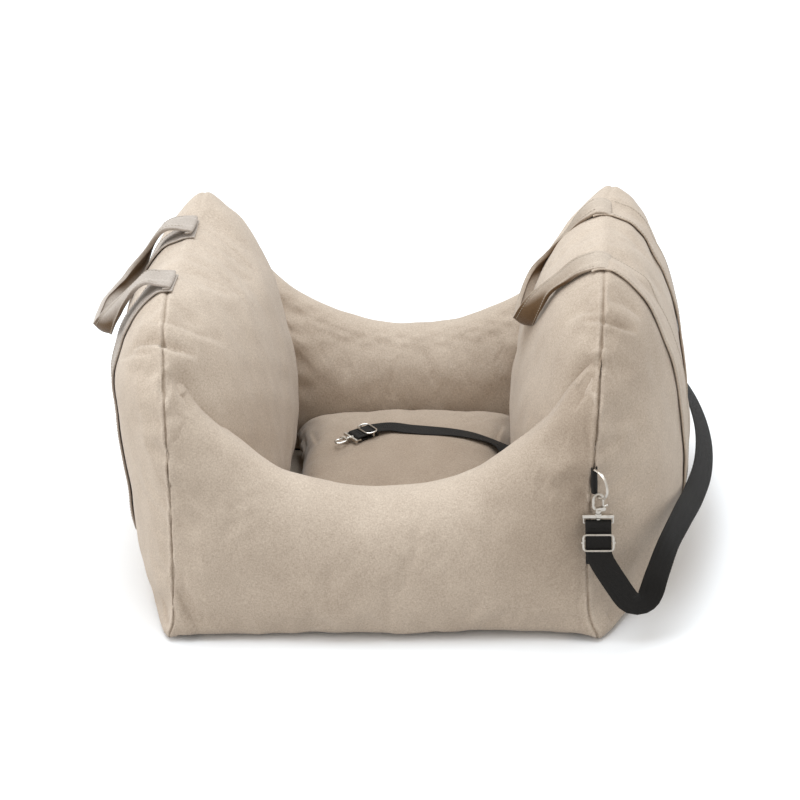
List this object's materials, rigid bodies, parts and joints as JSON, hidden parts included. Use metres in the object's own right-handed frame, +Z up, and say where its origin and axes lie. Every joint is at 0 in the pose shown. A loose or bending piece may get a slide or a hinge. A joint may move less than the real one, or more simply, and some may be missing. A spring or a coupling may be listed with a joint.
{
  "type": "dog car seat",
  "caption": "Soft dog car seat with tall pillow side walls, low curved bolsters, a lift-out cushion, carry handles and a hooked tether strap.",
  "frame": {"origin": "centre of the underside, on the floor", "axes": "+X towards the wall that carries the tether, +Y from the front bolster to the back one, +Z up"},
  "size_m": [0.6418, 0.5378, 0.3443],
  "materials": {
    "beige_cloth": "short soft pile, melange weave",
    "taupe_cloth": "doubled and stitched cloth",
    "polyester_filling": "loose fibre",
    "foam": "open-cell foam",
    "non_slip_cloth": "coated, non-slip",
    "board": "matte",
    "black_webbing": "woven webbing",
    "nickel": "plated, satin"
  },
  "bodies": {
    "seat": {"underside_panel": "non_slip_cloth", "base_board": "board", "well_floor_cloth": "beige_cloth", "left_wall_cover": "beige_cloth", "left_wall_filling": "polyester_filling", "right_wall_cover": "beige_cloth", "right_wall_filling": "polyester_filling", "front_bolster_cover": "beige_cloth", "front_bolster_filling": "polyester_filling", "back_bolster_cover": "beige_cloth", "back_bolster_filling": "polyester_filling", "left_handle_front_leg": "taupe_cloth", "left_handle_rear_leg": "taupe_cloth", "right_handle_front_leg": "taupe_cloth", "right_handle_rear_leg": "taupe_cloth", "front_ring_tab": "black_webbing", "rear_ring_tab": "black_webbing", "front_hook_eye": "nickel", "rear_hook_eye": "nickel", "tether_strap": "black_webbing", "leash_anchor": "black_webbing"},
    "base_cushion": {"base_cushion_top_cover": "beige_cloth", "base_cushion_bottom_cover": "beige_cloth", "base_cushion_foam": "foam", "leash_hook_eye": "nickel", "leash_strap": "black_webbing"},
    "left_handle": {"left_handle_loop": "taupe_cloth"},
    "right_handle": {"right_handle_loop": "taupe_cloth"},
    "front_ring": {"front_ring": "nickel"},
    "rear_ring": {"rear_ring": "nickel"},
    "front_hook": {"front_hook_body": "nickel"},
    "front_hook_trigger": {"front_hook_trigger": "nickel"},
    "rear_hook": {"rear_hook_body": "nickel"},
    "rear_hook_trigger": {"rear_hook_trigger": "nickel"},
    "tether_slider": {"tether_slider": "nickel"},
    "leash_hook": {"leash_hook_body": "nickel"},
    "leash_hook_trigger": {"leash_hook_trigger": "nickel"},
    "leash_slider": {"leash_slider": "nickel"}
  },
  "joints": [
    {"name": "base_cushion_lift", "type": "slide", "parent": "seat", "child": "base_cushion", "axis": [0, 0, 1], "range_m": [0, 0.36], "deforming": ["leash_strap"]},
    {"name": "left_handle_swing", "type": "hinge", "parent": "seat", "child": "left_handle", "pos_m": [-0.2134, 0, 0.3398], "axis": [0, 1, 0], "range_deg": [0, 135]},
    {"name": "right_handle_swing", "type": "hinge", "parent": "seat", "child": "right_handle", "pos_m": [0.2166, 0, 0.3398], "axis": [0, 1, 0], "range_deg": [0, 135]},
    {"name": "front_hook_swivel", "type": "hinge", "parent": "seat", "child": "front_hook", "pos_m": [0.20794, -0.25491, 0.1365], "axis": [0, 0, 1], "range_deg": [-15, 15]},
    {"name": "front_hook_trigger_pivot", "type": "hinge", "parent": "front_hook", "child": "front_hook_trigger", "pos_m": [0.21283, -0.25314, 0.1508], "axis": [0.342, -0.9397, 0], "range_deg": [0, 26], "stiffness_Nm_per_rad": 0.02},
    {"name": "front_ring_swing", "type": "hinge", "parent": "seat", "child": "front_ring", "pos_m": [0.2045, -0.25, 0.1776], "axis": [0, 0, 1], "range_deg": [-10, 10]},
    {"name": "rear_hook_swivel", "type": "hinge", "parent": "seat", "child": "rear_hook", "pos_m": [0.20794, 0.25491, 0.1365], "axis": [0, 0, 1], "range_deg": [-15, 15]},
    {"name": "rear_hook_trigger_pivot", "type": "hinge", "parent": "rear_hook", "child": "rear_hook_trigger", "pos_m": [0.20306, 0.25669, 0.1508], "axis": [0.342, 0.9397, 0], "range_deg": [0, 26], "stiffness_Nm_per_rad": 0.02},
    {"name": "rear_ring_swing", "type": "hinge", "parent": "seat", "child": "rear_ring", "pos_m": [0.2045, 0.25, 0.1776], "axis": [0, 0, 1], "range_deg": [-10, 10]},
    {"name": "tether_slider_run", "type": "slide", "parent": "seat", "child": "tether_slider", "axis": [0, 0, 1], "range_m": [0, 0.008]},
    {"name": "leash_hook_swivel", "type": "hinge", "parent": "base_cushion", "child": "leash_hook", "pos_m": [-0.054, 0.0245, 0.0894], "axis": [-0.7828, -0.6222, 0], "range_deg": [-15, 15]},
    {"name": "leash_hook_trigger_pivot", "type": "hinge", "parent": "leash_hook", "child": "leash_hook_trigger", "pos_m": [-0.06559, 0.0206, 0.0894], "axis": [0, 0, 1], "range_deg": [0, 26], "stiffness_Nm_per_rad": 0.02},
    {"name": "leash_slider_run", "type": "slide", "parent": "base_cushion", "child": "leash_slider", "axis": [-0.7828, -0.6222, 0], "range_m": [0, 0.006]}
  ]
}
